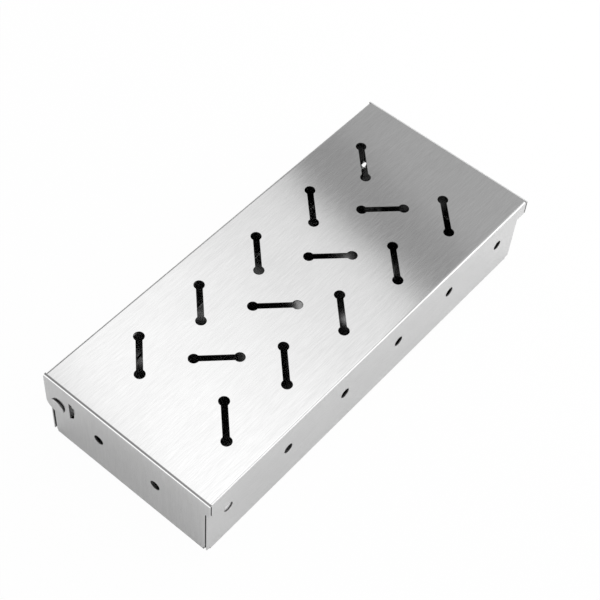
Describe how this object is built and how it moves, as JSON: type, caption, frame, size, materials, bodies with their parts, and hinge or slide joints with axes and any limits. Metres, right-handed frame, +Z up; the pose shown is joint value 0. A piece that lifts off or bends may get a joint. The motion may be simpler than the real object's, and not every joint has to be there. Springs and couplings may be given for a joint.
{
  "type": "smoker box",
  "caption": "Long low folded sheet-metal box with round side vents and a hinged lid with diagonal dumbbell slots, holding wood chips that smoke on a grill.",
  "frame": {"origin": "under the middle of the lid, on the plane that the tray rests on", "axes": "+X along the box, +Y across it towards the hinge, +Z up"},
  "size_m": [0.2358, 0.1, 0.046],
  "materials": {
    "tray_sheet": "brushed along the folds' length",
    "lid_sheet": "fine brushed along the length"
  },
  "bodies": {
    "tray": {"tray": "tray_sheet"},
    "lid": {"lid": "lid_sheet"}
  },
  "joints": [
    {"name": "lid_hinge", "type": "hinge", "parent": "tray", "child": "lid", "pos_m": [0, 0.0424, 0.0287], "axis": [-1, 0, 0], "range_deg": [0, 100]}
  ]
}
